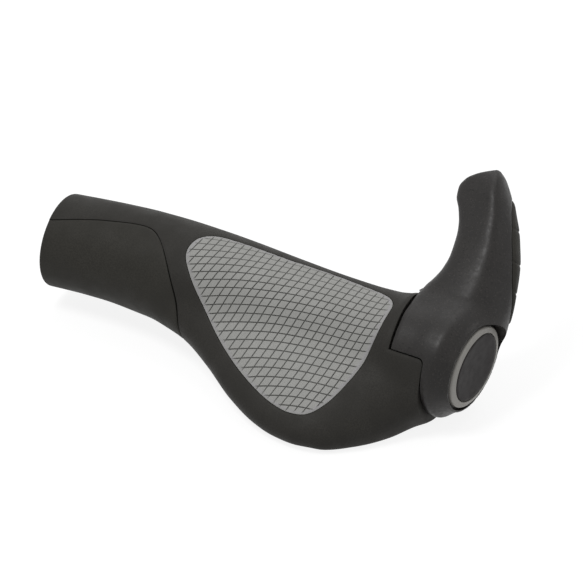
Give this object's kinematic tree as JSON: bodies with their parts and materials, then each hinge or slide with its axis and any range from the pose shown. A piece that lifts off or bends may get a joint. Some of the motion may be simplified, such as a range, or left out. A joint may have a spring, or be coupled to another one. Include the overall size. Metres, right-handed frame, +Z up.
{
  "type": "handlebar grip",
  "caption": "Right-hand bicycle handlebar grip with a drooping palm wing, textured palm pad and a short clamped bar end with a finger pad and end cap.",
  "frame": {"origin": "centre of the handlebar bore in the plane of the inboard face", "axes": "+X outboard along the handlebar, +Y forward in riding direction, +Z up"},
  "size_m": [0.1562, 0.0896, 0.0666],
  "materials": {
    "black_rubber": "fine matt moulded rubber",
    "grey_rubber": "matt grey rubber with fine diamond grooves",
    "shell_nylon": "glass-filled nylon, fine speckle",
    "core_nylon": "plain moulded nylon",
    "forged_aluminium": "forged and tumbled",
    "black_steel": "blackened steel",
    "cap_grey": "satin moulded plastic",
    "cap_dark": "satin moulded plastic"
  },
  "bodies": {
    "grip": {"grip_core": "core_nylon", "grip_body": "black_rubber", "inboard_panel": "black_rubber", "palm_pad": "grey_rubber"},
    "bar_end": {"horn_shell": "shell_nylon", "finger_pad": "black_rubber", "clamp_ring": "forged_aluminium", "clamp_screw": "black_steel", "clamp_washer": "black_steel", "end_cap": "cap_grey", "cap_inlay": "cap_dark"}
  },
  "joints": [
    {"name": "bar_end_angle", "type": "hinge", "parent": "grip", "child": "bar_end", "pos_m": [0, 0, 0], "axis": [1, 0, 0], "range_deg": [-20, 0]}
  ]
}
